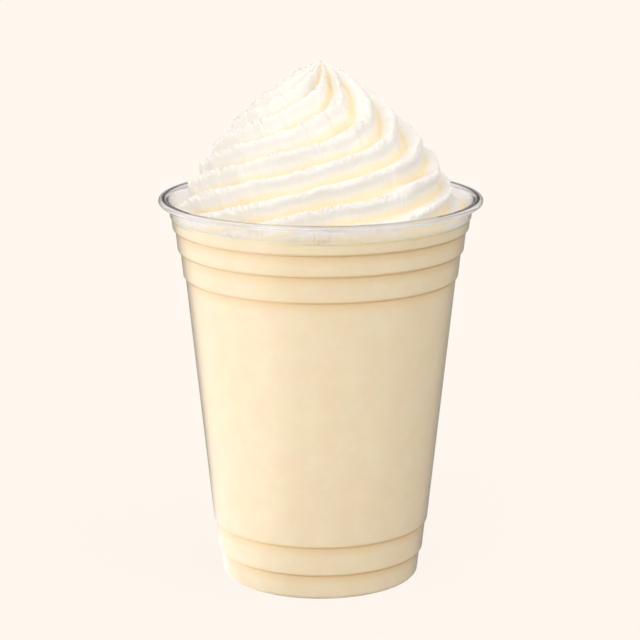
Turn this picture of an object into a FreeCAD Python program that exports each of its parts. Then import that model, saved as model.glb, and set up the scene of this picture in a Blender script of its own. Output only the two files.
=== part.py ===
import FreeCAD, Part
import math
import os
import Sketcher

# A vanilla milkshake in a clear plastic cup, topped with a piped swirl of whipped cream.
#
# Frame: millimetres, +Z up, origin at the centre of the ring that the cup stands on.
# The front of the drink faces -Y. The cup is a thin turned wall with stacking rings and a
# rolled lip, the milkshake fills it to just under the lip, and the cream stands on the
# milkshake as a dome of spiral ridges that wind up to one peak.

DIMENSIONS = {
    # cup
    "cup_height": 118.0,
    "rim_diameter": 98.0,
    "base_diameter": 60.0,
    "wall": 0.4,
    # flat lip: its width from the mouth to the outermost point, the diameter of the roll along
    # its edge, how far round the sheet curls from the outermost point, and the round of its
    # inner corner
    "lip_width": 3.0,
    "lip_roll": 1.7,
    "lip_curl": 130.0,
    "lip_round": 0.7,
    # neck under the lip: how much narrower it is than the mouth, and the height of that flare
    "neck_inset": 0.7,
    "neck_flare": 4.0,
    # stacking rings: how far the upper ones lie below the brim, and the lower ones above the base
    "neck_ring_drop": 5.9,
    "top_ring_drop": 9.4,
    "middle_ring_drop": 16.0,
    "bottom_ring_drop": 24.0,
    "low_ring_height": 17.1,
    "foot_ring_height": 7.8,
    # how far the wall steps at each ring, the heights of the sloping ledges, and their rounds
    "neck_ring_step": 0.3,
    "top_ring_step": 0.8,
    "middle_ring_step": 0.77,
    "bottom_ring_step": 0.6,
    "low_ring_step": 0.51,
    "foot_ring_step": 0.74,
    "neck_ledge": 0.4,
    "ring_ledge": 0.5,
    "shoulder_round": 0.8,
    "hollow_round": 0.4,
    # foot: the width of the standing ring, the recess inside it and the round outside it
    "foot_width": 5.0,
    "foot_round": 1.3,
    "recess_height": 3.0,
    "recess_slope": 1.2,
    # milkshake: how far its surface lies below the brim
    "fill_drop": 5.3,
    # whipped cream: the gap between it and the cup's neck, its dome, and the ridges on it
    "cream_gap": 3.5,
    "cream_height": 46.3,
    "cream_fullness": 1.4,
    "ridge_count": 9,
    "ridge_depth": 3.0,
    "foot_ridge_depth": 0.6,
    "ridge_share": 0.16,
    "swirl_twist": 250.0,
    "swirl_slowing": 0.25,
    "peak_radius": 0.7,
}

# The cream's sections each turn by less than this share of a ridge from the one below, so
# that the loft joins every ridge to itself.
RIDGE_SHARE_PER_SECTION = 0.4
FOOT_SECTIONS = 2
START, END, CENTRE = 1, 2, 3
SAME_PLACE = 1e-4

# Radii and heights of the cup as expressions in the sheet's names.
BRIM = "sizes.cup_height"
BASE_RADIUS = "sizes.base_diameter / 2"
ROLL_RADIUS = "sizes.lip_roll / 2"
ROLL_BORE = f"({ROLL_RADIUS} - sizes.wall)"
ROLL_CENTRE = f"(sizes.rim_diameter / 2 - {ROLL_RADIUS})"
ROLL_HEIGHT = f"({BRIM} - {ROLL_RADIUS})"
MOUTH_RADIUS = "(sizes.rim_diameter / 2 - sizes.lip_width)"
NECK_RADIUS = f"({MOUTH_RADIUS} + sizes.wall - sizes.neck_inset)"
NECK_TOP = f"({BRIM} - sizes.neck_flare)"
FILL_LEVEL = f"({BRIM} - sizes.fill_drop)"
CREAM_RADIUS = f"({NECK_RADIUS} - sizes.wall - sizes.cream_gap)"

# Each ring from the foot up: the middle height of its ledge, its step and its ledge's height.
RINGS = [
    ("sizes.foot_ring_height", "sizes.foot_ring_step", "sizes.ring_ledge"),
    ("sizes.low_ring_height", "sizes.low_ring_step", "sizes.ring_ledge"),
    (f"({BRIM} - sizes.bottom_ring_drop)", "sizes.bottom_ring_step", "sizes.ring_ledge"),
    (f"({BRIM} - sizes.middle_ring_drop)", "sizes.middle_ring_step", "sizes.ring_ledge"),
    (f"({BRIM} - sizes.top_ring_drop)", "sizes.top_ring_step", "sizes.ring_ledge"),
    (f"({BRIM} - sizes.neck_ring_drop)", "sizes.neck_ring_step", "sizes.neck_ledge"),
]
ALL_STEPS = " + ".join(step for _, step, _ in RINGS)
TAPER = f"(({NECK_RADIUS} - {BASE_RADIUS} - ({ALL_STEPS})) / {NECK_TOP})"


def make_sheet(document):
    """The driving dimensions, one named cell each."""
    sheet = document.addObject("Spreadsheet::Sheet", "sizes")
    for row, (name, size) in enumerate(DIMENSIONS.items(), start=1):
        sheet.set(f"A{row}", name)
        sheet.set(f"B{row}", str(size))
        sheet.setAlias(f"B{row}", name)
    document.recompute()
    return sheet


def value(sheet, expression):
    """What an expression in the sheet's names comes to."""
    return float(sheet.evalExpression(expression))


def wall_radius(height, rings_below):
    """The outside radius of the wall at a height that has so many rings below it."""
    steps = "".join(f" + {step}" for _, step, _ in RINGS[:rings_below])
    return f"({BASE_RADIUS} + {TAPER} * {height}{steps})"


def wall_stations(inset):
    """One side of the cup's wall, from the middle of its base to the corner of its lip.

    Returns the corners as (radius, height) pairs of expressions, and the corners that are
    rounded, each with its radius. The inset moves the side inward and upward, and the ledges
    up by half of it: 0 gives the outside of the cup, and the wall's thickness the inside.
    """
    floor = f"({inset})"
    recess_top = f"(sizes.recess_height + {inset})"
    recess_edge = f"({BASE_RADIUS} - sizes.foot_width + {inset})"
    recess_corner = (f"({recess_edge} - sizes.recess_slope)", recess_top)
    foot_corner = (f"({wall_radius(floor, 0)} - {inset})", floor)
    stations = [("0", recess_top), recess_corner, (recess_edge, floor), foot_corner]
    rounded = [
        (recess_corner, "sizes.hollow_round"),
        (foot_corner, f"sizes.foot_round - {inset}"),
    ]
    for index, (height, _, ledge) in enumerate(RINGS):
        ledge_foot = f"({height} - {ledge} / 2 + {inset} / 2)"
        ledge_top = f"({height} + {ledge} / 2 + {inset} / 2)"
        hollow = (f"({wall_radius(ledge_foot, index)} - {inset})", ledge_foot)
        shoulder = (f"({wall_radius(ledge_top, index + 1)} - {inset})", ledge_top)
        stations += [hollow, shoulder]
        if ledge == "sizes.ring_ledge":
            rounded += [(hollow, "sizes.hollow_round"), (shoulder, "sizes.shoulder_round")]
    under_lip = f"({BRIM} - sizes.wall + {inset})"
    lip_corner = (f"({MOUTH_RADIUS} + sizes.wall - {inset})", under_lip)
    stations += [(f"({NECK_RADIUS} - {inset})", NECK_TOP), lip_corner]
    rounded.append((lip_corner, f"sizes.lip_round + {inset}"))
    return stations, rounded


def origin_plane(body, role):
    """One of a body's own origin planes."""
    return next(item for item in body.Origin.OriginFeatures if item.Role == role)


def start_section(document, label):
    """A body with an empty sketch on its XZ plane."""
    body = document.addObject("PartDesign::Body", label)
    body.Label = label
    sketch = body.newObject("Sketcher::SketchObject", label + "_section")
    sketch.AttachmentSupport = [(origin_plane(body, "XZ_Plane"), "")]
    sketch.MapMode = "FlatFace"
    return body, sketch


def bind(sketch, sheet, kind, geometry, vertex, expression):
    """Binds the distance along X or Y from the sketch's origin to a point."""
    length = value(sheet, expression)
    if length == 0:
        axis = -2 if kind == "DistanceX" else -1
        sketch.addConstraint(Sketcher.Constraint("PointOnObject", geometry, vertex, axis))
        return
    constraint = Sketcher.Constraint(kind, -1, 1, geometry, vertex, length)
    number = sketch.addConstraint(constraint)
    sketch.setExpression(f"Constraints[{number}]", expression)


def join(sketch, first, first_vertex, second, second_vertex):
    """Makes two points of a sketch one."""
    constraint = Sketcher.Constraint("Coincident", first, first_vertex, second, second_vertex)
    sketch.addConstraint(constraint)


def add_run(sketch, sheet, stations):
    """A run of lines through (radius, height) stations, each start bound to the sheet."""
    points = [FreeCAD.Vector(value(sheet, r), value(sheet, z), 0) for r, z in stations]
    lines = []
    for index in range(len(stations) - 1):
        line = sketch.addGeometry(Part.LineSegment(points[index], points[index + 1]), False)
        bind(sketch, sheet, "DistanceX", line, START, stations[index][0])
        bind(sketch, sheet, "DistanceY", line, START, stations[index][1])
        if lines:
            join(sketch, lines[-1], END, line, START)
        lines.append(line)
    return lines


def add_lip_arc(sketch, sheet, radius):
    """An arc of the lip's roll, from the end of its curl round to the flat of the lip."""
    centre = FreeCAD.Vector(value(sheet, ROLL_CENTRE), value(sheet, ROLL_HEIGHT), 0)
    circle = Part.Circle(centre, FreeCAD.Vector(0, 0, 1), value(sheet, radius))
    curl = -math.radians(value(sheet, "sizes.lip_curl"))
    arc = sketch.addGeometry(Part.ArcOfCircle(circle, curl, math.pi / 2), False)
    bind(sketch, sheet, "DistanceX", arc, CENTRE, ROLL_CENTRE)
    bind(sketch, sheet, "DistanceY", arc, CENTRE, ROLL_HEIGHT)
    reach = f"{ROLL_CENTRE} + {radius} * cos(sizes.lip_curl * 1 deg)"
    bind(sketch, sheet, "DistanceX", arc, START, reach)
    return arc


def turn_section(document, sheet, body, sketch, rounded):
    """Turns a body's section about Z, then rounds its corners, one radius after another."""
    feature = body.newObject("PartDesign::Revolution", body.Label + "_turn")
    feature.Profile = sketch
    feature.ReferenceAxis = (sketch, ["V_Axis"])
    feature.Angle = 360
    sketch.Visibility = False
    document.recompute()
    for radius in dict.fromkeys(own for _, own in rounded):
        marks = [(value(sheet, r), value(sheet, z)) for (r, z), own in rounded if own == radius]
        names = corner_edges(feature.Shape, marks)
        if len(names) != len(marks):
            raise RuntimeError(f"{body.Label}: {len(names)} edges for {len(marks)} corners")
        fillet = body.newObject("PartDesign::Fillet", body.Label + "_round")
        fillet.Base = (feature, names)
        fillet.setExpression("Radius", radius)
        document.recompute()
        feature = fillet


def corner_edges(shape, marks):
    """The names of a turned shape's circular edges that pass through (radius, height) marks."""
    names = []
    for number, edge in enumerate(shape.Edges, start=1):
        if isinstance(edge.Curve, Part.Circle):
            place = (edge.Curve.Radius, edge.Curve.Center.z)
            if any(math.dist(place, mark) < SAME_PLACE for mark in marks):
                names.append(f"Edge{number}")
    return names


def make_cup(document, sheet):
    """The clear cup, turned from one section: a thin wall that ends in a flat, rolled lip."""
    outside, outside_rounded = wall_stations("0")
    inside, inside_rounded = wall_stations("sizes.wall")
    outside_end = (ROLL_CENTRE, f"({BRIM} - sizes.wall)")
    inside_end = (ROLL_CENTRE, BRIM)

    body, sketch = start_section(document, "cup")
    climb = add_run(sketch, sheet, outside + [outside_end])
    fall = add_run(sketch, sheet, [inside_end] + inside[::-1] + outside[:1])
    join(sketch, fall[-1], END, climb[0], START)
    bore_arc = add_lip_arc(sketch, sheet, ROLL_BORE)
    outer_arc = add_lip_arc(sketch, sheet, ROLL_RADIUS)
    join(sketch, climb[-1], END, bore_arc, END)
    join(sketch, fall[0], START, outer_arc, END)
    tips = [sketch.getPoint(arc, START) for arc in (bore_arc, outer_arc)]
    tip = sketch.addGeometry(Part.LineSegment(*tips), False)
    join(sketch, tip, START, bore_arc, START)
    join(sketch, tip, END, outer_arc, START)
    turn_section(document, sheet, body, sketch, outside_rounded + inside_rounded)
    return body


def make_milkshake(document, sheet):
    """The milkshake: the inside of the cup up to the level of the drink."""
    inside, rounded = wall_stations("sizes.wall")
    body, sketch = start_section(document, "inside_of_cup")
    run = add_run(sketch, sheet, inside + [("0", BRIM), inside[0]])
    join(sketch, run[-1], END, run[0], START)
    below_lip = rounded[:-1]
    turn_section(document, sheet, body, sketch, below_lip)

    column = document.addObject("Part::Cylinder", "fill_column")
    column.setExpression("Radius", "sizes.rim_diameter / 2")
    column.setExpression("Height", FILL_LEVEL)
    milkshake = document.addObject("Part::Common", "milkshake")
    milkshake.Label = "milkshake"
    milkshake.Base = body
    milkshake.Tool = column
    return milkshake


def swirl_sizes(index, sections):
    """Tip radius, groove radius, height and turn of one of the cream's level sections.

    The dome over the tips is a superellipse. The ridges grow from the foot, shrink with the
    dome towards the peak, and wind fastest at the foot.
    """
    fraction = index / sections
    slant = f"{fraction} * 90 deg"
    power = "(2 / sizes.cream_fullness)"
    dome = f"{CREAM_RADIUS} * pow(cos({slant}); {power})"
    tip = f"max({dome}; sizes.peak_radius)"
    grown = f"(sizes.foot_ridge_depth + {index / FOOT_SECTIONS} * sizes.ridge_depth)"
    depth = f"min(min({grown}; sizes.ridge_depth); sizes.ridge_share * {tip})"
    height = f"{FILL_LEVEL} + sizes.cream_height * pow(sin({slant}); {power})"
    pace = f"(1 + sizes.swirl_slowing * {1 - fraction})"
    turn = f"sizes.swirl_twist * 1 deg * {fraction} * {pace}"
    return tip, f"({tip} - {depth})", height, turn


def add_swirl_section(body, sheet, index, sections):
    """A level section of the cream: one arc for each ridge, meeting in sharp grooves.

    Every arc touches the circle of the tips and ends on the circle of the grooves, and all
    arcs are alike, so the two circles fix the whole outline.
    """
    tip, groove, height, turn = swirl_sizes(index, sections)
    sketch = body.newObject("Sketcher::SketchObject", "swirl_section")
    sketch.AttachmentSupport = [(origin_plane(body, "XY_Plane"), "")]
    sketch.MapMode = "FlatFace"
    sketch.setExpression("AttachmentOffset.Base.z", height)
    sketch.setExpression("AttachmentOffset.Rotation.Angle", turn)
    sketch.Visibility = False

    count = round(value(sheet, "sizes.ridge_count"))
    tip_radius, groove_radius = value(sheet, tip), value(sheet, groove)
    up = FreeCAD.Vector(0, 0, 1)

    def spoke(radius, step):
        return FreeCAD.Rotation(up, 360 * step / count).multVec(FreeCAD.Vector(radius, 0, 0))

    for k in range(count):
        places = (groove_radius, k), (tip_radius, k + 0.5), (groove_radius, k + 1)
        sketch.addGeometry(Part.Arc(*(spoke(*place) for place in places)), False)
    guides = []
    for radius, expression in ((tip_radius, tip), (groove_radius, groove)):
        guide = sketch.addGeometry(Part.Circle(FreeCAD.Vector(), up, radius), True)
        join(sketch, guide, CENTRE, -1, 1)
        number = sketch.addConstraint(Sketcher.Constraint("Radius", guide, radius))
        sketch.setExpression(f"Constraints[{number}]", expression)
        guides.append(guide)
    tip_circle, groove_circle = guides
    for k in range(count):
        join(sketch, k, END, (k + 1) % count, START)
        sketch.addConstraint(Sketcher.Constraint("PointOnObject", k, START, groove_circle))
        sketch.addConstraint(Sketcher.Constraint("Tangent", k, tip_circle))
        if k:
            sketch.addConstraint(Sketcher.Constraint("Equal", 0, k))
    sketch.addConstraint(Sketcher.Constraint("PointOnObject", 0, START, -1))
    return sketch


def make_cream(document, sheet):
    """The whipped cream: a loft through scalloped sections that shrink and turn to the peak."""
    body = document.addObject("PartDesign::Body", "whipped_cream")
    body.Label = "whipped_cream"
    fastest = "sizes.swirl_twist * (1 + sizes.swirl_slowing) * sizes.ridge_count / 360"
    count = math.ceil(value(sheet, fastest) / RIDGE_SHARE_PER_SECTION)
    sketches = [add_swirl_section(body, sheet, index, count) for index in range(count + 1)]
    document.recompute()
    loft = body.newObject("PartDesign::AdditiveLoft", "swirl")
    loft.Profile = sketches[0]
    loft.Sections = sketches[1:]
    return body


def check(document, parts):
    """Stops the script where a feature failed or a sub-part isn't one sound solid."""
    for item in document.Objects:
        if "Invalid" in item.State or "Error" in item.State:
            raise RuntimeError(f"{item.Label} failed: {item.State}")
    for part in parts:
        shape = part.Shape
        if shape.isNull() or not shape.isValid() or len(shape.Solids) != 1:
            raise RuntimeError(f"{part.Label} isn't one sound solid")


def main():
    document = FreeCAD.newDocument("vanilla_milkshake")
    sheet = make_sheet(document)
    parts = [
        make_cup(document, sheet),
        make_milkshake(document, sheet),
        make_cream(document, sheet),
    ]
    document.recompute()
    check(document, parts)
    os.makedirs("parts", exist_ok=True)
    for part in parts:
        part.Shape.exportStep(f"parts/{part.Label}.step")
        box = part.Shape.BoundBox
        print(f"{part.Label}: {part.Shape.Volume / 1000:.2f} cm3, {box}")


main()
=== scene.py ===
import math

import bpy
import numpy as np
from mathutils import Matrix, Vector


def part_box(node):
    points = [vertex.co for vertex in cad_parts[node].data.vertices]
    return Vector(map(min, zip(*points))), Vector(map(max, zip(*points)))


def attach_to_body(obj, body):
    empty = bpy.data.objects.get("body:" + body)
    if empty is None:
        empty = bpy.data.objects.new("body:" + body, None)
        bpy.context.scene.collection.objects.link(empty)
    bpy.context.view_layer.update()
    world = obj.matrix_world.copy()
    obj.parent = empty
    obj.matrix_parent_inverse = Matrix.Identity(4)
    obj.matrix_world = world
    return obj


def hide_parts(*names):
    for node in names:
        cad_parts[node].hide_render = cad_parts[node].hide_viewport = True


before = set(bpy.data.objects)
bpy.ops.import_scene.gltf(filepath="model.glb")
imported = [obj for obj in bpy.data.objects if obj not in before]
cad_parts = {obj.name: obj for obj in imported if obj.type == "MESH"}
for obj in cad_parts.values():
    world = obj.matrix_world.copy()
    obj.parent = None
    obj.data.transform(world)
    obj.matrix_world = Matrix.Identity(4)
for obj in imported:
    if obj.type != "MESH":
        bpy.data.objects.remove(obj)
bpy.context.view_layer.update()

bl_info = {
    "name": "Vanilla Milkshake",
    "version": (1, 0, 0),
    "blender": (4, 5, 0),
    "location": "3D View > Sidebar > Milkshake",
    "description": "A vanilla milkshake in a clear cup, under a piped swirl of whipped cream",
    "category": "Add Mesh",
}

MM = 0.001
CUP_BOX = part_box("cup")
SHAKE_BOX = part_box("milkshake")
CREAM_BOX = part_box("whipped_cream")


# Settings


def length(name, description, default):
    """A size in metres."""
    return bpy.props.FloatProperty(
        name=name, description=description, default=default, subtype="DISTANCE", unit="LENGTH",
        precision=5,
    )


def angle(name, description, degrees):
    """An angle, given in degrees."""
    return bpy.props.FloatProperty(
        name=name, description=description, default=math.radians(degrees), subtype="ANGLE",
        unit="ROTATION",
    )


def number(name, description, default):
    """A plain number or share."""
    return bpy.props.FloatProperty(name=name, description=description, default=default)


def count(name, description, default):
    """A whole number."""
    return bpy.props.IntProperty(name=name, description=description, default=default)


def lengths(name, description, defaults):
    """Several sizes of one kind, in metres."""
    return bpy.props.FloatVectorProperty(
        name=name, description=description, default=defaults, size=len(defaults),
        subtype="NONE", unit="LENGTH", precision=5,
    )


def colour(name, description, red, green, blue):
    """A colour, given in screen values from 0 to 255."""
    return bpy.props.FloatVectorProperty(
        name=name, description=description, default=screen_colour(red, green, blue),
        size=3, subtype="COLOR", min=0, max=1,
    )


def screen_colour(red, green, blue):
    """Linear light for a screen colour from 0 to 255."""
    shares = [value / 255 for value in (red, green, blue)]
    return [s / 12.92 if s <= 0.04045 else ((s + 0.055) / 1.055) ** 2.4 for s in shares]


class CupSettings(bpy.types.PropertyGroup):
    """The clear cup with its stacking rings and rolled lip"""

    wall: length("Wall", "Thickness of the plastic", 0.4 * MM)
    base_radius: length("Base Radius", "Radius of the foot at the ground", 30.0 * MM)
    neck_inset: length("Neck Inset", "How much narrower the neck is than the mouth", 0.7 * MM)
    neck_flare: length("Neck Flare", "Height over which the neck opens to the lip", 4.0 * MM)
    lip_width: length("Lip Width", "From the mouth to the lip's outermost point", 3.0 * MM)
    lip_roll: length("Lip Roll", "Diameter of the roll along the lip's edge", 1.7 * MM)
    lip_round: length("Lip Round", "Radius of the lip's inner corner", 0.7 * MM)
    ring_drops: lengths(
        "Upper Rings", "Drop from the brim to each upper stacking ring",
        (24.0 * MM, 16.0 * MM, 9.4 * MM, 5.9 * MM),
    )
    ring_heights: lengths(
        "Lower Rings", "Height of each lower stacking ring", (7.8 * MM, 17.1 * MM)
    )
    ring_steps: lengths(
        "Ring Steps", "How far the wall steps out at each ring, from the foot up",
        (0.74 * MM, 0.51 * MM, 0.6 * MM, 0.77 * MM, 0.8 * MM, 0.3 * MM),
    )
    ring_ledge: length("Ring Ledge", "Height of the sloping ledge at a ring", 0.5 * MM)
    shoulder_round: length("Shoulder Round", "Radius of a ring's upper edge", 0.8 * MM)
    hollow_round: length("Hollow Round", "Radius of the corner under a ring", 0.4 * MM)
    foot_width: length("Foot Width", "Width of the ring that the cup stands on", 5.0 * MM)
    foot_round: length("Foot Round", "Radius of the foot's outer edge", 1.3 * MM)
    recess_height: length("Recess Height", "Depth of the recess under the cup", 3.0 * MM)
    recess_slope: length("Recess Slope", "Width of the slope round that recess", 1.2 * MM)
    segments: count("Segments", "Flat sides round the cup and the drink", 256)
    plastic_tint: colour("Plastic Tint", "Tint of the clear plastic", 244, 245, 249)
    # Edge-on grey: partly the longer path through the plastic, partly a painted dark edge line.
    edge_shade_tint: colour("Edge Tint", "Tint where the plastic is seen edge-on", 182, 180, 184)


class ShakeSettings(bpy.types.PropertyGroup):
    """The milkshake that fills the cup, and the flecks in it"""

    into_wall: length("Into Wall", "How far the drink reaches into the plastic", 0.2 * MM)
    body_colour: colour("Shake", "Main colour of the milkshake", 245, 230, 201)
    pale_colour: colour("Pale Swirls", "Paler patches where more milk shows", 248, 235, 208)
    # Painted shade: the warm shadow under each ring's ledge is painted into the drink in this
    # colour.
    ring_shade_colour: colour("Ring Shade", "Deeper colour under the cup's rings", 243, 216, 165)
    fleck_colour: colour("Flecks", "Colour of the vanilla flecks", 176, 158, 130)
    fleck_count: count("Fleck Count", "Vanilla flecks that show at the wall", 420)
    fleck_size: length("Fleck Size", "Length of a large fleck", 0.5 * MM)


class CreamSettings(bpy.types.PropertyGroup):
    """The piped swirl of whipped cream"""

    ridges: count("Ridges", "Ridges left by the teeth of the piping nozzle", 9)
    ridge_depth: length("Ridge Depth", "Depth of the grooves near the foot", 3.6 * MM)
    foot_spread: length("Foot Spread", "How far the foot of the cream spreads", 3.4 * MM)
    twist_rate: angle("Twist Rate", "Turn of the ridges per millimetre at the foot", 6.7)
    twist_slowing: angle("Twist Slowing", "Loss of that turn per millimetre up", 0.0787)
    twist_start: angle("Twist Start", "Turn of the whole swirl", 71.8)
    ruffle_depth: length("Ruffle Depth", "Depth of the ragged pleats on the ridges", 1.05 * MM)
    ruffle_count: count("Ruffle Count", "Pleats round the foot of the swirl", 256)
    wander: number("Wander", "How far ridges stray, as a share of their spacing", 0.17)
    waver: number("Waver", "How far crests waver closely, as a share of their spacing", 0.06)
    crest_colour: colour("Crests", "Colour of the cream on the ridges", 237, 235, 231)
    # Painted shade: the warm shade deep in the grooves and round the foot is painted in this
    # colour.
    groove_shade_colour: colour("Grooves", "Colour of the cream deep in the grooves", 240, 225, 192)


class StageSettings(bpy.types.PropertyGroup):
    """Floor, backdrop, lights and camera"""

    backdrop: colour("Backdrop", "Colour of the floor and backdrop", 255, 248, 240)
    camera_distance: length("Camera Distance", "From the camera to the cup's axis", 0.7462)
    camera_pitch: angle("Camera Pitch", "How far the camera looks down", 13.34)
    camera_height: length("Aim Height", "Height on the axis that the camera aims at", 0.0795)
    camera_aside: length("Aim Aside", "How far left of the axis the camera stands", 0.00023)
    focal_length: number("Focal Length", "Lens in millimetres on a 36 mm sensor", 137.3)
    sky_light: number("Sky Light", "Broad light from above", 0.95)
    dim_light: number("Dim Light", "Light from the rest of the room", 0.75)
    floor_light: number("Floor Light", "Light that the floor throws up", 0.45)
    key_light: number("Key Light", "Soft lamp at the upper left", 0.95)
    fill_light: number("Fill Light", "Soft lamp at the right", 0.8)
    screen_light: number("Screen Light", "Bright screen at the left, as gloss shows it", 1.3)
    pool_light: number("Pool Light", "Bright pool on the floor's left, as gloss shows it", 1.7)
    dim_gloss: number("Dim Gloss", "The rest of the room, as gloss shows it", 0.25)


# Shared helpers


def round_corners(stations):
    """A (radius, height) outline whose corners are rounded; each station is (r, z, rounding)."""
    outline = []
    last = len(stations) - 1
    for index, (r, z, rounding) in enumerate(stations):
        corner = np.array((r, z))
        if rounding == 0 or index in (0, last):
            outline.append(corner)
            continue
        before = np.array(stations[index - 1][:2]) - corner
        after = np.array(stations[index + 1][:2]) - corner
        before /= np.linalg.norm(before)
        after /= np.linalg.norm(after)
        half = math.acos(np.clip(before @ after, -1, 1)) / 2
        reach = rounding / math.tan(half)
        middle = (before + after) / np.linalg.norm(before + after)
        centre = corner + middle * rounding / math.sin(half)
        start = corner + before * reach - centre
        end = corner + after * reach - centre
        sweep = math.pi - 2 * half
        steps = max(3, round(math.degrees(sweep) / ROUND_STEP))
        for step in range(steps + 1):
            share = step / steps
            arm = start * math.sin((1 - share) * sweep) + end * math.sin(share * sweep)
            outline.append(centre + arm / math.sin(sweep))
    return outline


ROUND_STEP = 7


def make_mesh(name, vertices, faces):
    """A smooth-shaded mesh object in the scene."""
    mesh = bpy.data.meshes.new(name)
    mesh.from_pydata([tuple(v) for v in vertices], [], faces)
    mesh.update()
    mesh.shade_smooth()
    piece = bpy.data.objects.new(name, mesh)
    bpy.context.scene.collection.objects.link(piece)
    return piece


def turn_outline(name, outline, segments):
    """A solid of revolution about Z; the outline starts and ends on the axis."""
    angles = np.arange(segments) * 2 * math.pi / segments
    circle = np.stack([np.cos(angles), np.sin(angles)], 1)
    rings = [
        np.column_stack([circle * r, np.full(segments, z)]) for r, z in outline[1:-1]
    ]
    vertices = np.concatenate(rings + [[(0, 0, outline[0][1])], [(0, 0, outline[-1][1])]])
    first_pole = len(rings) * segments
    faces = []
    for side in range(segments):
        after = (side + 1) % segments
        faces.append((first_pole, after, side))
        for ring in range(len(rings) - 1):
            low, high = ring * segments, (ring + 1) * segments
            faces.append((low + side, low + after, high + after, high + side))
        top = (len(rings) - 1) * segments
        faces.append((top + side, top + after, first_pole + 1))
    return make_mesh(name, vertices, faces)


def attach(piece, node):
    """Makes a piece stand for a CAD node and ride on the one body."""
    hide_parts(node)
    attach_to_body(piece, "root")


def new_material(name):
    """A material with one Principled shader; returns it with its nodes and links."""
    material = bpy.data.materials.new(name)
    material.use_nodes = True
    nodes, links = material.node_tree.nodes, material.node_tree.links
    return material, nodes, links, nodes["Principled BSDF"]


def noise_node(nodes, links, vector, scale, detail=2.0, roughness=0.5):
    """A noise texture over the given coordinates."""
    noise = nodes.new("ShaderNodeTexNoise")
    noise.inputs["Scale"].default_value = scale
    noise.inputs["Detail"].default_value = detail
    noise.inputs["Roughness"].default_value = roughness
    links.new(vector, noise.inputs["Vector"])
    return noise


def mix_colours(nodes, links, share, first, second):
    """A mix of two colours, each a plain colour or a socket, by a share socket."""
    mix = nodes.new("ShaderNodeMix")
    mix.data_type = "RGBA"
    links.new(share, mix.inputs["Factor"])
    for socket, source in ((mix.inputs["A"], first), (mix.inputs["B"], second)):
        if isinstance(source, bpy.types.NodeSocket):
            links.new(source, socket)
        else:
            socket.default_value = (*source, 1)
    return mix.outputs["Result"]


def ramp_node(nodes, links, value, low, high):
    """A share that climbs from 0 to 1 as the value goes from low to high."""
    ramp = nodes.new("ShaderNodeMapRange")
    ramp.interpolation_type = "SMOOTHSTEP"
    ramp.inputs["From Min"].default_value = low
    ramp.inputs["From Max"].default_value = high
    links.new(value, ramp.inputs["Value"])
    return ramp.outputs["Result"]


def bump_node(nodes, links, height, distance, strength, before=None):
    """A bump from a height socket, over another bump if one is given."""
    bump = nodes.new("ShaderNodeBump")
    bump.inputs["Distance"].default_value = distance
    bump.inputs["Strength"].default_value = strength
    links.new(height, bump.inputs["Height"])
    if before is not None:
        links.new(before, bump.inputs["Normal"])
    return bump.outputs["Normal"]


# Cup

LIP_STEPS = 40
# The clear plastic: where its edge grey, partly the longer path through it and partly a painted
# dark edge, sets in and is full, as shares of facing away; its refraction; its haze; and the
# ripple that its forming leaves.
EDGE_FACING = (0.6, 1.0)
PLASTIC_IOR = 1.57
HAZE_SCALE = 90
HAZE_DETAIL = 3
HAZE_ROUGHNESS = (0.02, 0.07)
RIPPLE_SCALE = 60
RIPPLE_HEIGHT = 0.2 * MM
RIPPLE_STRENGTH = 0.12


def wall_stations(cup, inset):
    """One side of the cup's wall, from the middle of its base to the flat of its lip.

    Stations are (radius, height, rounding). The inset moves the side inward and upward: 0
    gives the outside of the cup, and the wall's thickness gives the inside.
    """
    brim = CUP_BOX[1].z
    mouth_radius = CUP_BOX[1].x - cup.lip_width
    neck_radius = mouth_radius + cup.wall - cup.neck_inset
    neck_top = brim - cup.neck_flare
    taper = (neck_radius - cup.base_radius - sum(cup.ring_steps)) / neck_top
    recess_edge = cup.base_radius - cup.foot_width + inset
    recess_top = cup.recess_height + inset
    stations = [
        (0, recess_top, 0),
        (recess_edge - cup.recess_slope, recess_top, cup.hollow_round),
        (recess_edge, inset, cup.hollow_round),
        (cup.base_radius + taper * inset - inset, inset, cup.foot_round - inset),
    ]
    stepped = 0.0
    heights = list(cup.ring_heights) + [brim - drop for drop in cup.ring_drops]
    for height, step in zip(heights, cup.ring_steps):
        low = height - cup.ring_ledge / 2 + inset / 2
        high = low + cup.ring_ledge
        share = min(1, step / min(cup.ring_steps[:-1]))
        stations.append(
            (cup.base_radius + taper * low + stepped - inset, low, cup.hollow_round * share)
        )
        stepped += step
        stations.append(
            (cup.base_radius + taper * high + stepped - inset, high, cup.shoulder_round * share)
        )
    stations.append((neck_radius - inset, neck_top, cup.neck_flare))
    under_lip = brim - cup.wall + inset
    stations.append((mouth_radius + cup.wall - inset, under_lip, cup.lip_round + inset))
    stations.append((CUP_BOX[1].x - cup.lip_roll / 2, under_lip, 0))
    return stations


def lip_bead(cup):
    """The bead along the lip's edge, from the underside of the lip round to its top."""
    roll = cup.lip_roll / 2
    centre = np.array((CUP_BOX[1].x - roll, CUP_BOX[1].z - roll))
    start = math.asin((roll - cup.wall) / roll) - math.pi
    turns = np.linspace(-start, 2.5 * math.pi, LIP_STEPS)
    return [centre + roll * np.array((math.cos(t), math.sin(t))) for t in turns]


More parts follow.
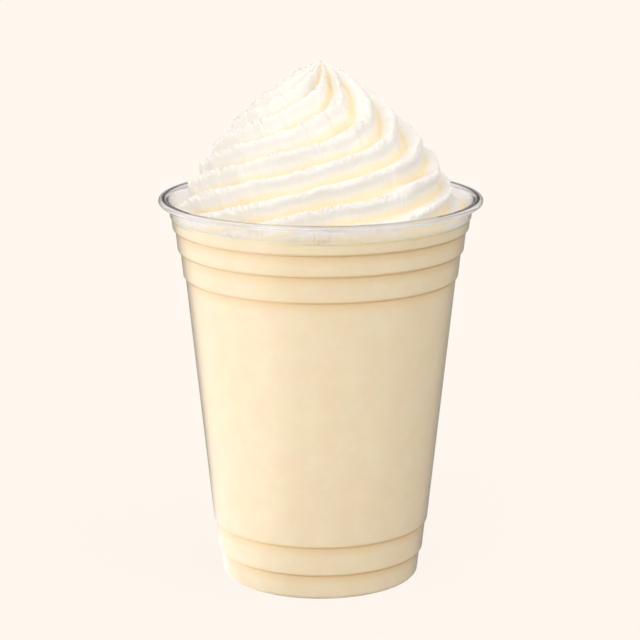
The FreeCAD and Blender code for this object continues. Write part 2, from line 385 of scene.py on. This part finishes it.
def plastic_material(cup):
    """Clear, glossy, faintly wavy thermoformed plastic."""
    material, nodes, links, shader = new_material("clear_plastic")
    # Greys where seen edge-on: partly the longer path through the plastic, partly a painted dark
    # edge standing for the darker room seen through it.
    edge = nodes.new("ShaderNodeLayerWeight").outputs["Facing"]
    share = ramp_node(nodes, links, edge, *EDGE_FACING)
    tint = mix_colours(nodes, links, share, cup.plastic_tint, cup.edge_shade_tint)
    links.new(tint, shader.inputs["Base Color"])
    shader.inputs["Transmission Weight"].default_value = 1.0
    shader.inputs["IOR"].default_value = PLASTIC_IOR
    place = nodes.new("ShaderNodeTexCoord").outputs["Object"]
    haze = noise_node(nodes, links, place, HAZE_SCALE, HAZE_DETAIL)
    rough = nodes.new("ShaderNodeMapRange")
    rough.inputs["To Min"].default_value = HAZE_ROUGHNESS[0]
    rough.inputs["To Max"].default_value = HAZE_ROUGHNESS[1]
    links.new(haze.outputs["Fac"], rough.inputs["Value"])
    links.new(rough.outputs["Result"], shader.inputs["Roughness"])
    ripple = noise_node(nodes, links, place, RIPPLE_SCALE, 1).outputs["Fac"]
    rippled = bump_node(nodes, links, ripple, RIPPLE_HEIGHT, RIPPLE_STRENGTH)
    links.new(rippled, shader.inputs["Normal"])
    let_lamps_through(nodes, links, shader)
    return material


def let_lamps_through(nodes, links, shader):
    """Lets the lamps' light pass a clear shader, so that what stands behind it is lit."""
    clear = nodes.new("ShaderNodeBsdfTransparent")
    mix = nodes.new("ShaderNodeMixShader")
    links.new(nodes.new("ShaderNodeLightPath").outputs["Is Shadow Ray"], mix.inputs[0])
    links.new(shader.outputs[0], mix.inputs[1])
    links.new(clear.outputs[0], mix.inputs[2])
    links.new(mix.outputs[0], nodes["Material Output"].inputs["Surface"])


class MILKSHAKE_OT_cup(bpy.types.Operator):
    """Build the clear cup with its stacking rings and rolled lip"""

    bl_idname = "milkshake.cup"
    bl_label = "Cup"

    def execute(self, context):
        cup = context.scene.milkshake_cup
        outside = round_corners(wall_stations(cup, 0))
        inside = round_corners(wall_stations(cup, cup.wall))
        outline = outside[:-1] + lip_bead(cup) + inside[-2::-1]
        piece = turn_outline("clear_cup", outline, cup.segments)
        piece.data.materials.append(plastic_material(cup))
        attach(piece, "cup")
        return {"FINISHED"}


# Milkshake

# The drink's look: its mottling, gloss, glow and froth.
CLOUD_SCALE = 160
CLOUD_DETAIL = 4
CLOUD_ROUGHNESS = 0.6
CLOUD_EDGES = (0.3, 0.75)
SHAKE_ROUGHNESS = 0.42
SHAKE_GLOW = 0.7
SHAKE_GLOW_REACH = (1.0, 0.6, 0.25)
SHAKE_GLOW_SCALE = 1.8 * MM
FROTH_SCALE = 420
FROTH_HEIGHT = 0.1 * MM
FROTH_STRENGTH = 0.25
# The top of the drink, as (distance in from its edge, distance down); it ends level.
TOP_DIPS = ((0, 0), (0.8 * MM, 0.15 * MM), (3 * MM, 0.3 * MM))
TOP_DIP = TOP_DIPS[-1][1]
EDGE_ROOM = 0.2 * MM
EDGE_REACH = 0.1 * MM
# The flecks: their sizes and their lengths to a corner as shares, their width as a share of
# their length, and how far the middle, corners and back of one stand off the wall.
FLECK_SEED = 11
FLECK_CORNERS = 6
FLECK_SIZES = (0.35, 1.0)
FLECK_REACHES = (0.7, 1.0)
FLECK_WIDTH = 0.6
FLECK_MIDDLE = 0.05 * MM
FLECK_EDGE = 0.03 * MM
FLECK_BACK = 0.15 * MM
FLECK_TOP_ROOM = 2 * MM
FLECK_TONE_SCALE = 300
FLECK_TONE_EDGES = (0.3, 0.7)
FLECK_ROUGHNESS = 0.6
# How strongly painted shade, the shadow under a ring's ledge, deepens the drink's colour round a
# ring, as (height above the ring in metres, share) from below it to above it; the thin ring on
# the neck is shaded less.
RING_PAINTED_SHADE = ((-3.4 * MM, 0), (-0.9 * MM, 0.5), (0, 1), (0.4 * MM, 0.45), (1.2 * MM, 0))
NECK_PAINTED_SHADE = ((-0.5 * MM, 0), (0, 0.25), (0.4 * MM, 0))


def ring_shade_shares(cup, nodes, links, place):
    """The share of painted shade, the shadow under a ring's ledge: 1 at each stacking ring,
    fading above and below it.
    """
    brim = CUP_BOX[1].z
    heights = list(cup.ring_heights) + [brim - drop for drop in cup.ring_drops]
    sides = nodes.new("ShaderNodeSeparateXYZ")
    links.new(place, sides.inputs[0])
    level = nodes.new("ShaderNodeMapRange")
    level.inputs["From Max"].default_value = brim
    links.new(sides.outputs["Z"], level.inputs["Value"])
    ramp = nodes.new("ShaderNodeValToRGB")
    stops = ramp.color_ramp.elements
    for height, glow in zip(heights, [RING_PAINTED_SHADE] * (len(heights) - 1) + [NECK_PAINTED_SHADE]):
        for above, share in glow:
            stop = stops.new((height + above) / brim)
            stop.color = (share, share, share, 1)
    stops.remove(stops[0])
    stops.remove(stops[-1])
    links.new(level.outputs["Result"], ramp.inputs["Fac"])
    return ramp.outputs["Color"]


def shake_material(cup, shake):
    """Thick vanilla shake: soft, faintly mottled, with painted warm shade round each ring."""
    material, nodes, links, shader = new_material("vanilla_shake")
    place = nodes.new("ShaderNodeTexCoord").outputs["Object"]
    clouds = noise_node(nodes, links, place, CLOUD_SCALE, CLOUD_DETAIL, CLOUD_ROUGHNESS)
    share = ramp_node(nodes, links, clouds.outputs["Fac"], *CLOUD_EDGES)
    mottled = mix_colours(nodes, links, share, shake.body_colour, shake.pale_colour)
    rings = ring_shade_shares(cup, nodes, links, place)
    # Painted shade: the shadow under each ring's ledge, painted into the drink's colour.
    ring_shaded = mix_colours(nodes, links, rings, mottled, shake.ring_shade_colour)
    links.new(ring_shaded, shader.inputs["Base Color"])
    shader.inputs["Roughness"].default_value = SHAKE_ROUGHNESS
    shader.inputs["Subsurface Weight"].default_value = SHAKE_GLOW
    shader.inputs["Subsurface Radius"].default_value = SHAKE_GLOW_REACH
    shader.inputs["Subsurface Scale"].default_value = SHAKE_GLOW_SCALE
    froth = noise_node(nodes, links, place, FROTH_SCALE, 2).outputs["Fac"]
    frothy = bump_node(nodes, links, froth, FROTH_HEIGHT, FROTH_STRENGTH)
    links.new(frothy, shader.inputs["Normal"])
    return material


def fleck_material(shake):
    """Specks of ground vanilla, softened by the shake over them."""
    material, nodes, links, shader = new_material("vanilla_fleck")
    place = nodes.new("ShaderNodeTexCoord").outputs["Object"]
    tone = noise_node(nodes, links, place, FLECK_TONE_SCALE, 1)
    share = ramp_node(nodes, links, tone.outputs["Fac"], *FLECK_TONE_EDGES)
    mixed = mix_colours(nodes, links, share, shake.fleck_colour, shake.body_colour)
    links.new(mixed, shader.inputs["Base Color"])
    shader.inputs["Roughness"].default_value = FLECK_ROUGHNESS
    return material


class MILKSHAKE_OT_shake(bpy.types.Operator):
    """Build the milkshake up to its level in the cup"""

    bl_idname = "milkshake.shake"
    bl_label = "Milkshake"

    def execute(self, context):
        cup, shake = context.scene.milkshake_cup, context.scene.milkshake_shake
        level = SHAKE_BOX[1].z
        inset = cup.wall - shake.into_wall
        wall = round_corners(wall_stations(cup, inset))
        outline = [point for point in wall if point[1] < level - EDGE_ROOM]
        rim = outline[-1][0] + EDGE_REACH
        outline += [np.array((rim - inward, level - down)) for inward, down in TOP_DIPS]
        outline.append(np.array((0, level - TOP_DIP)))
        piece = turn_outline("milkshake_fill", outline, cup.segments)
        piece.data.materials.append(shake_material(cup, shake))
        attach(piece, "milkshake")
        return {"FINISHED"}


class MILKSHAKE_OT_flecks(bpy.types.Operator):
    """Scatter vanilla flecks where the milkshake meets the plastic"""

    bl_idname = "milkshake.flecks"
    bl_label = "Vanilla Flecks"

    def execute(self, context):
        cup, shake = context.scene.milkshake_cup, context.scene.milkshake_shake
        rng = np.random.default_rng(FLECK_SEED)
        inset = cup.wall - shake.into_wall
        wall = np.array(round_corners(wall_stations(cup, inset)))
        wall = wall[wall[:, 0] > cup.base_radius - cup.foot_width]
        order = np.argsort(wall[:, 1])
        low, high = cup.foot_round, SHAKE_BOX[1].z - FLECK_TOP_ROOM
        vertices, faces = [], []
        for _ in range(shake.fleck_count):
            height = low + (high - low) * rng.random()
            radius = np.interp(height, wall[order, 1], wall[order, 0])
            turn = rng.uniform(0, 2 * math.pi)
            size = shake.fleck_size * rng.uniform(*FLECK_SIZES)
            outward = np.array((math.cos(turn), math.sin(turn), 0))
            aside = np.array((-math.sin(turn), math.cos(turn), 0))
            up = np.array((0, 0, 1.0))
            lean = rng.uniform(0, math.pi)
            along = math.cos(lean) * aside + math.sin(lean) * up
            across = -math.sin(lean) * aside + math.cos(lean) * up
            centre = outward * radius + up * height
            base = len(vertices)
            vertices.append(centre + outward * FLECK_MIDDLE)
            for k in range(FLECK_CORNERS):
                bend = 2 * math.pi * k / FLECK_CORNERS
                reach = rng.uniform(*FLECK_REACHES) * size / 2
                vertices.append(
                    centre
                    + along * math.cos(bend) * reach
                    + across * math.sin(bend) * reach * FLECK_WIDTH
                    - outward * FLECK_EDGE
                )
            vertices.append(centre - outward * FLECK_BACK)
            back = base + 1 + FLECK_CORNERS
            for k in range(FLECK_CORNERS):
                here, after = base + 1 + k, base + 1 + (k + 1) % FLECK_CORNERS
                faces.append((base, here, after))
                faces.append((back, after, here))
        piece = make_mesh("vanilla_flecks", vertices, faces)
        piece.data.materials.append(fleck_material(shake))
        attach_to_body(piece, "root")
        return {"FINISHED"}


# Whipped cream

NOISE_ROWS = 64
# The grid of the cream's surface: columns round the foot, halved twice on the way up where the
# dome has narrowed to these shares of its foot, and the height of a row.
FOOT_COLUMNS = 896
HALVED_AT = (0.46, 0.2)
ROW_HEIGHT = 0.42 * MM
# The dome over the ridges: radius = foot * (1 - h ** FULLNESS) ** SHOULDER.
DOME_FULLNESS = 1.6
DOME_SHOULDER = 0.85
# A ridge's section from one crest up to the next, as (share of the way, share of the depth):
# a rounded nosing, a steep fall into a narrow groove, and a long riser out to the next crest.
RIDGE_SECTION = (
    (0.00, 0.00),
    (0.08, 0.06),
    (0.15, 0.28),
    (0.21, 0.66),
    (0.26, 0.94),
    (0.32, 1.00),
    (0.43, 0.90),
    (0.57, 0.74),
    (0.70, 0.52),
    (0.80, 0.24),
    (0.90, 0.05),
)


# How the hand that piped it strayed, in degrees at the foot and per millimetre up from there:
# towards the sides of the swirl, and towards its back.
STRAY_ASIDE = (9.5, -0.27)
STRAY_BACK = (-36.9, 0.574)
LEAST_TURN = 1.0
# Ridges keep their full depth where they lie this far apart, and fade out below this height.
FULL_SPACING = 5.0 * MM
FADE_HEIGHT = 3.0
DEPTH_CHANGE = 0.3
# Pleats are sums of noise at shares of their number, each with its strength. They are less
# than the limit deep, and finer sets of them take over as the dome narrows.
PLEAT_WAVES = ((0.5, 0.9), (1, 0.9), (2, 0.25))
PLEAT_SETS = 6
PLEAT_LIMIT = 0.8 * MM
FEWEST_PLEATS = 7
PLEAT_LEFT = 0.38
PLEAT_EVEN = 0.72
PLEAT_SLIP = 0.55
LUMP_DEPTH = 0.45 * MM
# The foot spreads out over the drink: how high, how steeply, and how much of it all round.
FOOT_HEIGHT = 4.5
FOOT_SHAPE = 1.3
FOOT_EVEN = 0.95
FOOT_CHANGE = 0.07
# The cream keeps this far inside the wall, and its foot is sunk this far into the drink.
WALL_ROOM = 0.15 * MM
FOOT_SUNK = 0.4 * MM
FOOT_LOWEST = 0.6 * MM
# Its looks: from which depths it takes the painted groove shade, its gloss, glow and airy grain.
GROOVE_SHADE_EDGES = (0.55, 1.05)
CREAM_ROUGHNESS = 0.5
CREAM_GLOSS = 0.35
CREAM_GLOW = 0.35
CREAM_GLOW_REACH = (1.0, 0.8, 0.5)
CREAM_GLOW_SCALE = 0.5 * MM
GRAIN_SCALE = 1400
GRAIN_DETAIL = 3
GRAIN_ROUGHNESS = 0.6
GRAIN_HEIGHT = 0.15 * MM
GRAIN_STRENGTH = 0.3


def smooth_noise(x, y, cells, seed):
    """Smooth random values from -1 to 1; they repeat along x after so many cells."""
    table = np.random.default_rng(seed).uniform(-1, 1, (cells, NOISE_ROWS))
    x0, y0 = np.floor(x).astype(int), np.floor(y).astype(int)
    fx, fy = x - x0, y - y0
    fx, fy = fx * fx * (3 - 2 * fx), fy * fy * (3 - 2 * fy)
    x1, y1 = (x0 + 1) % cells, (y0 + 1) % NOISE_ROWS
    x0, y0 = x0 % cells, y0 % NOISE_ROWS
    near = table[x0, y0] * (1 - fx) + table[x1, y0] * fx
    far = table[x0, y1] * (1 - fx) + table[x1, y1] * fx
    return near * (1 - fy) + far * fy


def closed_curve(section, share):
    """Smooth interpolation through a repeating section at shares from 0 to 1."""
    place = np.array([point[0] for point in section])
    depth = np.array([point[1] for point in section])
    n = len(section)
    knots = np.arange(n) / n
    cell = np.floor(share * n).astype(int) % n
    f = share * n - np.floor(share * n)
    results = []
    for values, lap in ((place, 1.0), (depth, 0.0)):
        ring = [values[(cell + k) % n] + lap * ((cell + k) // n) for k in (-1, 0, 1, 2)]
        a, b, c, d = ring
        results.append(
            b + 0.5 * f * (c - a + f * (2 * a - 5 * b + 4 * c - d + f * (3 * (b - c) + d - a)))
        )
    return results


class Swirl:
    """The shape of the piped cream, worked out over azimuth and distance up its dome."""

    def __init__(self, cream):
        self.cream = cream
        self.foot_z = CREAM_BOX[0].z
        self.height = CREAM_BOX[1].z - self.foot_z
        self.radius = CREAM_BOX[1].y + 0.2 * MM
        h = np.sin(np.linspace(0, math.pi / 2, 3000))
        self.r = self.radius * (1 - h**DOME_FULLNESS) ** DOME_SHOULDER
        self.z = self.foot_z + self.height * h
        self.up = np.concatenate([[0], np.cumsum(np.hypot(np.diff(self.r), np.diff(self.z)))])
        self.total = self.up[-1]

    def turn(self, up):
        """How far the ridges have turned at a distance up the dome."""
        mm = up / MM
        return self.cream.twist_rate * mm - self.cream.twist_slowing * mm * mm / 2

    def unevenness(self, azimuth, up):
        """How the hand that piped it lagged and hurried round the swirl."""
        side, front = np.sin(azimuth), np.cos(azimuth) - 1
        mm = up / MM
        aside = STRAY_ASIDE[0] + STRAY_ASIDE[1] * mm
        back = STRAY_BACK[0] + STRAY_BACK[1] * mm
        degrees = side * aside + front * back
        return np.radians(degrees)

    def surface(self, azimuth, up):
        """Points of the cream, with the share of painted shade at each: how deep it lies in a
        groove, and the warm patches round the foot.
        """
        cream = self.cream
        step = 2 * math.pi / cream.ridges
        mm = up / MM
        r = np.interp(up, self.up, self.r)
        z = np.interp(up, self.up, self.z)
        slope_r = np.interp(up, self.up, np.gradient(self.r, self.up))
        slope_z = np.interp(up, self.up, np.gradient(self.z, self.up))

        # Which ridge a point is on, and how far it is on the way up to the next.
        swept = self.turn(up) + self.unevenness(azimuth, up)
        x = (swept - azimuth + cream.twist_start) / step
        x = x + cream.wander * smooth_noise(azimuth / step, mm / 17, cream.ridges, 3)
        x = x + cream.waver * smooth_noise(azimuth / step * 4, mm / 5, 4 * cream.ridges, 15)
        lap = np.floor(x)
        share = x - lap
        ridge = lap.astype(int) % cream.ridges
        along, sink = closed_curve(RIDGE_SECTION, share)

        rate = (cream.twist_rate - cream.twist_slowing * mm) / MM
        stray = STRAY_BACK[1] * (np.cos(azimuth) - 1) + STRAY_ASIDE[1] * np.sin(azimuth)
        rate = rate + stray * math.pi / 180 / MM
        rate = np.maximum(rate, math.radians(LEAST_TURN) / MM)
        wide = np.maximum(r, 0.5 * MM) * step
        tall = step / rate
        spacing = wide * tall / np.hypot(wide, tall)
        slant = np.arctan2(tall, wide)

        depth = cream.ridge_depth * np.minimum(1, spacing / FULL_SPACING)
        depth = depth * np.clip(mm / FADE_HEIGHT, 0.1, 1)
        lively = smooth_noise(azimuth / step * 2, mm / 9, 2 * cream.ridges, 5)
        depth = depth * (1 + DEPTH_CHANGE * lively)

        ragged = self.pleats(azimuth, up, r, slant, share, ridge)
        ragged = ragged * np.clip(spacing / FULL_SPACING, 0.15, 1)
        lumps = LUMP_DEPTH * smooth_noise(azimuth * 20 / math.pi, mm / 3, 40, 9)
        lumps = lumps * np.clip(mm / 4, 0, 1) * np.clip(r / (8 * MM), 0, 1)

        foot = np.clip(1 - mm / FOOT_HEIGHT, 0, 1) ** FOOT_SHAPE
        scalloped = smooth_noise(azimuth * 10 / math.pi, mm / 5, 20, 13)
        spread = cream.foot_spread * foot * (FOOT_EVEN + FOOT_CHANGE * mm * scalloped)
        out = spread + lumps + ragged - depth * sink
        shift = (along - share) * spacing + PLEAT_SLIP * ragged
        up_shift = shift * np.cos(slant)
        azimuth = azimuth - shift * np.sin(slant) / np.maximum(r, 1.5 * MM)
        radius = r + slope_z * out + slope_r * up_shift
        height = z - slope_r * out + slope_z * up_shift
        radius = np.clip(radius, 0, SHAKE_BOX[1].y - WALL_ROOM)
        height = np.clip(height, self.foot_z - FOOT_LOWEST, CREAM_BOX[1].z)
        height = np.where(mm < 0.5, self.foot_z - FOOT_SUNK, height)
        x, y = radius * np.sin(azimuth), -radius * np.cos(azimuth)
        # Painted shade: warm blotchy patches round the foot, where cream and drink leave dim
        # gaps.
        shade_patches = smooth_noise(azimuth * 12 / math.pi, mm / 2, 24, 17)
        foot_shade = np.clip(1.5 - mm / 4, 0, 1) * (0.85 + 0.4 * shade_patches)
        return np.stack([x, y, height], 1), np.clip(np.maximum(sink, foot_shade), 0, 1)

    def pleats(self, azimuth, up, r, slant, share, ridge):
        """How far pleats stand out. They run across the ridges, down from each crest, and keep
        their size where the dome narrows."""
        cream = self.cream
        mm = up / MM
        step = 2 * math.pi / cream.ridges
        lean = np.interp(up, self.up, self.crosswise)
        psi = (azimuth + lean) / (2 * math.pi)
        level = np.log2(self.radius / np.maximum(r * np.cos(slant), 1.2 * MM))
        level = np.clip(level, 0, 4)
        pleats = np.zeros_like(share)
        for octave in range(PLEAT_SETS):
            weight = np.clip(1 - np.abs(level - octave), 0, 1)
            cells = max(FEWEST_PLEATS, cream.ruffle_count >> octave)
            for finer, strength in PLEAT_WAVES:
                across = max(4, round(cells * finer))
                wave = smooth_noise(psi * across, share * 1.4 + ridge * 5, across, 20 + octave)
                pleats += weight * strength * (2 * np.sqrt(wave * wave + 0.01) - 0.6)
        riser = 0.25 + 0.75 * np.clip((share - 0.45) / 0.45, 0, 1)
        crest = np.where(share < 0.36, np.exp(-((share / 0.12) ** 2)), riser)
        left = PLEAT_EVEN - PLEAT_LEFT * np.sin(azimuth)
        patch = 0.75 + 0.6 * smooth_noise(azimuth / step * 3, mm / 6, 3 * cream.ridges, 7)
        ragged = cream.ruffle_depth * pleats * crest * left * patch
        return np.clip(ragged, -PLEAT_LIMIT, PLEAT_LIMIT)

    @property
    def crosswise(self):
        """Turn of the lines that cross the ridges squarely, along the dome."""
        rate = np.maximum(self.cream.twist_rate - self.cream.twist_slowing * self.up / MM, 0.02)
        r = np.maximum(self.r, 5 * MM)
        pull = 1 / (r * r * rate / MM)
        return np.concatenate([[0], np.cumsum(pull[1:] * np.diff(self.up))])


def cream_grid(swirl):
    """Vertices, faces and painted-shade shares of the cream, closed under its foot and at its
    peak.
    """
    rows = round(swirl.total / ROW_HEIGHT)
    ups = np.linspace(0, swirl.total - 0.25 * MM, rows)
    vertices, depths, faces = [], [], []
    columns, start, before = FOOT_COLUMNS, 0, None
    for up in ups:
        narrow = np.interp(up, swirl.up, swirl.r) / swirl.radius
        wanted = FOOT_COLUMNS >> sum(narrow < share for share in HALVED_AT)
        azimuth = np.arange(wanted) * 2 * math.pi / wanted
        points, depth = swirl.surface(azimuth, np.full(wanted, up))
        vertices.append(points)
        depths.append(depth)
        if before is not None:
            skip = before // wanted
            low, high = start - before, start
            for k in range(wanted):
                after = (k + 1) % wanted
                under = [low + (k * skip + j) % before for j in range(skip + 1)]
                faces.append((*under, high + after, high + k))
        before = wanted
        start += wanted
    foot, peak = start, start + 1
    vertices.append([(0, 0, swirl.foot_z - 0.5 * MM), (0, 0, CREAM_BOX[1].z)])
    depths.append([0, 0])
    for k in range(FOOT_COLUMNS):
        faces.append((foot, (k + 1) % FOOT_COLUMNS, k))
    top = start - before
    for k in range(before):
        faces.append((top + k, top + (k + 1) % before, peak))
    return np.concatenate(vertices), faces, np.concatenate(depths)


def cream_material(cream):
    """Whipped cream: nearly white, airy, with painted warm shade deep in its grooves and round
    its foot.
    """
    material, nodes, links, shader = new_material("whipped_cream")
    depth = nodes.new("ShaderNodeAttribute")
    depth.attribute_name = "groove"
    # Painted shade: the groove colour goes where the cream lies deep in a groove or at its foot.
    share = ramp_node(nodes, links, depth.outputs["Fac"], *GROOVE_SHADE_EDGES)
    tinted = mix_colours(nodes, links, share, cream.crest_colour, cream.groove_shade_colour)
    links.new(tinted, shader.inputs["Base Color"])
    shader.inputs["Roughness"].default_value = CREAM_ROUGHNESS
    shader.inputs["Specular IOR Level"].default_value = CREAM_GLOSS
    shader.inputs["Subsurface Weight"].default_value = CREAM_GLOW
    shader.inputs["Subsurface Radius"].default_value = CREAM_GLOW_REACH
    shader.inputs["Subsurface Scale"].default_value = CREAM_GLOW_SCALE
    place = nodes.new("ShaderNodeTexCoord").outputs["Object"]
    airy = noise_node(nodes, links, place, GRAIN_SCALE, GRAIN_DETAIL, GRAIN_ROUGHNESS)
    soft = bump_node(nodes, links, airy.outputs["Fac"], GRAIN_HEIGHT, GRAIN_STRENGTH)
    links.new(soft, shader.inputs["Normal"])
    return material


class MILKSHAKE_OT_cream(bpy.types.Operator):
    """Pipe the swirl of whipped cream"""

    bl_idname = "milkshake.cream"
    bl_label = "Whipped Cream"

    def execute(self, context):
        cream = context.scene.milkshake_cream
        vertices, faces, depths = cream_grid(Swirl(cream))
        piece = make_mesh("cream_swirl", vertices, faces)
        # Painted shade: the groove attribute carries the share of painted shade for the
        # material.
        groove = piece.data.attributes.new("groove", "FLOAT", "POINT")
        groove.data.foreach_set("value", depths.astype(np.float32))
        piece.data.materials.append(cream_material(cream))
        attach(piece, "whipped_cream")
        return {"FINISHED"}


# Stage


# Towards the middle of the soft light, and between which cosines it fades away from there; then
# the same for what gloss shows: the bright screen, and the pool of light on the floor.
SOFT_LIGHT = (-0.25, -0.35, 1.0)
SOFT_LIGHT_EDGES = (-0.4, 0.9)
BRIGHT_SCREEN = (-0.8, -0.4, 0.5)
BRIGHT_SCREEN_EDGES = (0.1, 0.6)
POOL_SIDE = (-0.996, -0.087, 0.0)
POOL_EDGES = (0.35, 1.0)
# The floor: its half width in metres, how much light it scatters, and how bright it looks.
FLOOR_HALF = 20.0
FLOOR_SCATTER = 0.07
FLOOR_SEEN = 0.918
BACKDROP_SEEN = 1.0
# The lamps: towards each, and its spread in degrees.
KEY_LAMP = ((-0.45, -0.9, 0.45), 50)
FILL_LAMP = ((0.85, -0.5, 0.6), 70)
SENSOR_WIDTH = 36
CLIP_START = 0.01


def math_node(nodes, links, operation, first, second):
    """One sum over two values, each a socket or a number."""
    node = nodes.new("ShaderNodeMath")
    node.operation = operation
    for socket, source in zip(node.inputs, (first, second)):
        if isinstance(source, bpy.types.NodeSocket):
            links.new(source, socket)
        else:
            socket.default_value = source
    return node.outputs[0]


def by_path(nodes, links, scattered, mirrored, seen):
    """A strength for light that pieces scatter, one for their gloss, one as seen plainly."""
    path = nodes.new("ShaderNodeLightPath").outputs
    straight = math_node(
        nodes, links, "MAXIMUM", path["Is Camera Ray"], path["Is Transmission Ray"]
    )
    unscattered = math_node(nodes, links, "LESS_THAN", path["Diffuse Depth"], 0.5)
    unbent = math_node(nodes, links, "MULTIPLY", straight, unscattered)
    chosen = scattered
    for share, other in ((unscattered, mirrored), (unbent, seen)):
        mix = nodes.new("ShaderNodeMix")
        links.new(share, mix.inputs["Factor"])
        for socket, source in ((mix.inputs["A"], chosen), (mix.inputs["B"], other)):
            if isinstance(source, bpy.types.NodeSocket):
                links.new(source, socket)
            else:
                socket.default_value = source
        chosen = mix.outputs["Result"]
    return chosen


def facing(nodes, links, direction, middle):
    """The cosine of the angle between a direction and a middle one."""
    towards = nodes.new("ShaderNodeVectorMath")
    towards.operation = "DOT_PRODUCT"
    links.new(direction, towards.inputs[0])
    towards.inputs[1].default_value = Vector(middle).normalized()
    return towards.outputs["Value"]


def ranged(nodes, links, value, edges, ends):
    """A strength that eases between two ends as a value passes between two edges."""
    ease = nodes.new("ShaderNodeMapRange")
    ease.interpolation_type = "SMOOTHSTEP"
    for name, amount in zip(("From Min", "From Max", "To Min", "To Max"), (*edges, *ends)):
        ease.inputs[name].default_value = amount
    links.new(value, ease.inputs["Value"])
    return ease.outputs["Result"]


def stage_material(stage):
    """Pale matt floor that melts into the backdrop; a pool of light lies on its left."""
    material, nodes, links, shader = new_material("pale_floor")
    shader.inputs["Base Color"].default_value = (*[FLOOR_SCATTER * c for c in stage.backdrop], 1)
    shader.inputs["Roughness"].default_value = 1.0
    shader.inputs["Specular IOR Level"].default_value = 0.0
    shader.inputs["Emission Color"].default_value = (*stage.backdrop, 1)
    outward = nodes.new("ShaderNodeVectorMath")
    outward.operation = "NORMALIZE"
    links.new(nodes.new("ShaderNodeTexCoord").outputs["Object"], outward.inputs[0])
    side = facing(nodes, links, outward.outputs[0], POOL_SIDE)
    pool = ranged(nodes, links, side, POOL_EDGES, (stage.dim_gloss, stage.pool_light))
    glow = by_path(nodes, links, stage.floor_light, pool, FLOOR_SEEN)
    links.new(glow, shader.inputs["Emission Strength"])
    return material


def studio_world(stage):
    """The backdrop as seen, and round it the soft light of a room, brightest from above."""
    world = bpy.data.worlds.new("studio")
    world.use_nodes = True
    nodes, links = world.node_tree.nodes, world.node_tree.links
    direction = nodes.new("ShaderNodeTexCoord").outputs["Generated"]
    levels = []
    for middle, edges, ends in (
        (SOFT_LIGHT, SOFT_LIGHT_EDGES, (stage.dim_light, stage.sky_light)),
        (BRIGHT_SCREEN, BRIGHT_SCREEN_EDGES, (stage.dim_gloss, stage.screen_light)),
    ):
        levels.append(
            ranged(nodes, links, facing(nodes, links, direction, middle), edges, ends)
        )
    light = nodes["Background"]
    light.inputs["Color"].default_value = (*stage.backdrop, 1)
    links.new(by_path(nodes, links, *levels, BACKDROP_SEEN), light.inputs["Strength"])
    return world


class MILKSHAKE_OT_stage(bpy.types.Operator):
    """Set up the floor, the backdrop, the lights and the camera"""

    bl_idname = "milkshake.stage"
    bl_label = "Stage"

    def execute(self, context):
        stage = context.scene.milkshake_stage
        half = FLOOR_HALF
        corners = [(-half, -half, 0), (half, -half, 0), (half, half, 0), (-half, half, 0)]
        floor = make_mesh("floor", corners, [(0, 1, 2, 3)])
        floor.data.materials.append(stage_material(stage))

        context.scene.world = studio_world(stage)
        self.add_sun(context, "key", *KEY_LAMP, stage.key_light)
        self.add_sun(context, "fill", *FILL_LAMP, stage.fill_light)
        self.add_camera(context, stage)
        context.scene.view_settings.view_transform = "Standard"
        return {"FINISHED"}

    def add_sun(self, context, name, direction, spread, strength):
        """A soft light from one side, as broad as its spread in degrees."""
        sun = bpy.data.lights.new(name, "SUN")
        sun.angle = math.radians(spread)
        sun.energy = strength
        holder = bpy.data.objects.new(name, sun)
        holder.rotation_euler = Vector(direction).to_track_quat("Z", "Y").to_euler()
        context.scene.collection.objects.link(holder)

    def add_camera(self, context, stage):
        """A camera that looks at the cup from the front and a little above."""
        camera = bpy.data.objects.new("camera", bpy.data.cameras.new("camera"))
        camera.data.lens = stage.focal_length
        camera.data.sensor_width = SENSOR_WIDTH
        camera.data.clip_start = CLIP_START
        back = stage.camera_distance * math.cos(stage.camera_pitch)
        rise = stage.camera_distance * math.sin(stage.camera_pitch)
        camera.location = (-stage.camera_aside, -back, stage.camera_height + rise)
        camera.rotation_euler = (math.pi / 2 - stage.camera_pitch, 0, 0)
        context.scene.collection.objects.link(camera)
        context.scene.camera = camera


class MILKSHAKE_PT_panel(bpy.types.Panel):
    """The milkshake's pieces and their settings"""

    bl_idname = "MILKSHAKE_PT_panel"
    bl_label = "Milkshake"
    bl_space_type = "VIEW_3D"
    bl_region_type = "UI"
    bl_category = "Milkshake"

    def draw(self, context):
        for group, operators in PIECES.items():
            box = self.layout.box()
            settings = getattr(context.scene, group)
            for name in settings.__annotations__:
                box.prop(settings, name)
            for operator in operators:
                box.operator(operator.bl_idname)


PIECES = {
    "milkshake_cup": (MILKSHAKE_OT_cup,),
    "milkshake_shake": (MILKSHAKE_OT_shake, MILKSHAKE_OT_flecks),
    "milkshake_cream": (MILKSHAKE_OT_cream,),
    "milkshake_stage": (MILKSHAKE_OT_stage,),
}
SETTINGS = {
    "milkshake_cup": CupSettings,
    "milkshake_shake": ShakeSettings,
    "milkshake_cream": CreamSettings,
    "milkshake_stage": StageSettings,
}


def register():
    for name, settings in SETTINGS.items():
        bpy.utils.register_class(settings)
        setattr(bpy.types.Scene, name, bpy.props.PointerProperty(type=settings))
    for operators in PIECES.values():
        for operator in operators:
            bpy.utils.register_class(operator)
    bpy.utils.register_class(MILKSHAKE_PT_panel)


def unregister():
    bpy.utils.unregister_class(MILKSHAKE_PT_panel)
    for operators in PIECES.values():
        for operator in operators:
            bpy.utils.unregister_class(operator)
    for name, settings in SETTINGS.items():
        delattr(bpy.types.Scene, name)
        bpy.utils.unregister_class(settings)


def main():
    register()
    bpy.ops.milkshake.cup()
    bpy.ops.milkshake.shake()
    bpy.ops.milkshake.flecks()
    bpy.ops.milkshake.cream()
    bpy.ops.milkshake.stage()


if __name__ == "__main__":
    main()
